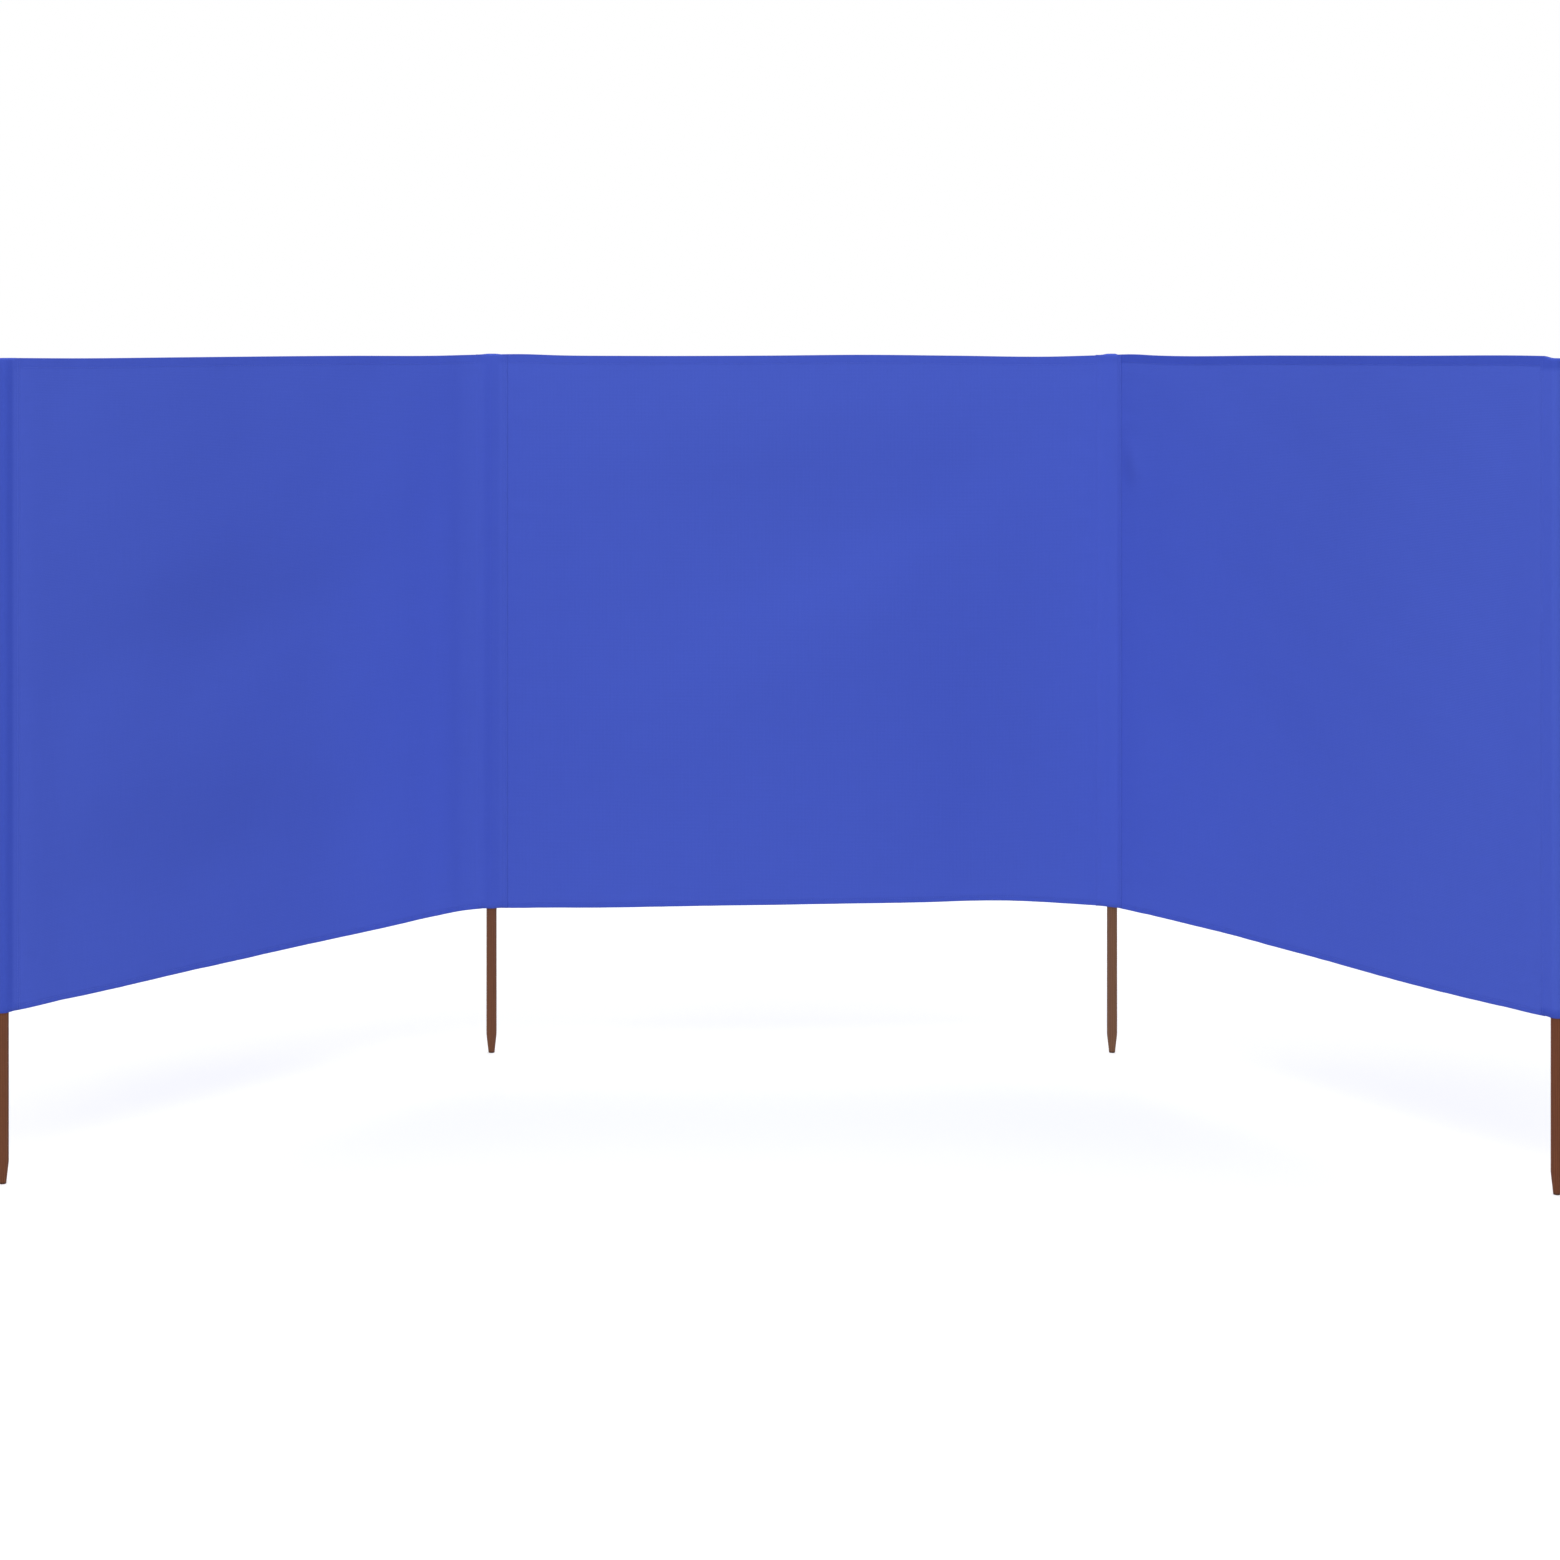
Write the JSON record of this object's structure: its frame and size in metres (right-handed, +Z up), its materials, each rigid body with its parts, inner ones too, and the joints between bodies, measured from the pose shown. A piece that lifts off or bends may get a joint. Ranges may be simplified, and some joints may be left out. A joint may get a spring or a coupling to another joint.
{
  "type": "fabric windbreak",
  "caption": "Freestanding cloth windscreen: plain blue fabric bays sewn round upright wooden poles with bare tapered ends for the ground, the outer bays swung forward as wings.",
  "frame": {"origin": "middle of the left inner pole's blunt foot", "axes": "+X along the back bay to the right inner pole, +Y away from the sheltered side, +Z up along the poles"},
  "size_m": [2.8275, 1.2077, 1.5015],
  "materials": {
    "blue_cloth": "matte plain woven cloth",
    "stained_wood": "brown stained, matte"
  },
  "bodies": {
    "back_bay": {"back_cloth": "blue_cloth", "back_top_hem": "blue_cloth", "back_bottom_hem": "blue_cloth", "left_inner_pole": "stained_wood", "left_inner_sleeve": "blue_cloth", "left_inner_sleeve_top": "blue_cloth", "right_inner_pole": "stained_wood", "right_inner_sleeve": "blue_cloth", "right_inner_sleeve_top": "blue_cloth"},
    "left_wing": {"left_wing_cloth": "blue_cloth", "left_wing_top_hem": "blue_cloth", "left_wing_bottom_hem": "blue_cloth", "left_end_pole": "stained_wood", "left_end_sleeve": "blue_cloth", "left_end_sleeve_top": "blue_cloth"},
    "right_wing": {"right_wing_cloth": "blue_cloth", "right_wing_top_hem": "blue_cloth", "right_wing_bottom_hem": "blue_cloth", "right_end_pole": "stained_wood", "right_end_sleeve": "blue_cloth", "right_end_sleeve_top": "blue_cloth"}
  },
  "joints": [
    {"name": "left_wing_swing", "type": "hinge", "parent": "back_bay", "child": "left_wing", "pos_m": [0, 0, 0.9], "axis": [0, 0, 1], "range_deg": [-53.6, 61.4]},
    {"name": "right_wing_swing", "type": "hinge", "parent": "back_bay", "child": "right_wing", "pos_m": [1.333, 0, 0.9], "axis": [0, 0, -1], "range_deg": [-59.4, 55.6]}
  ]
}
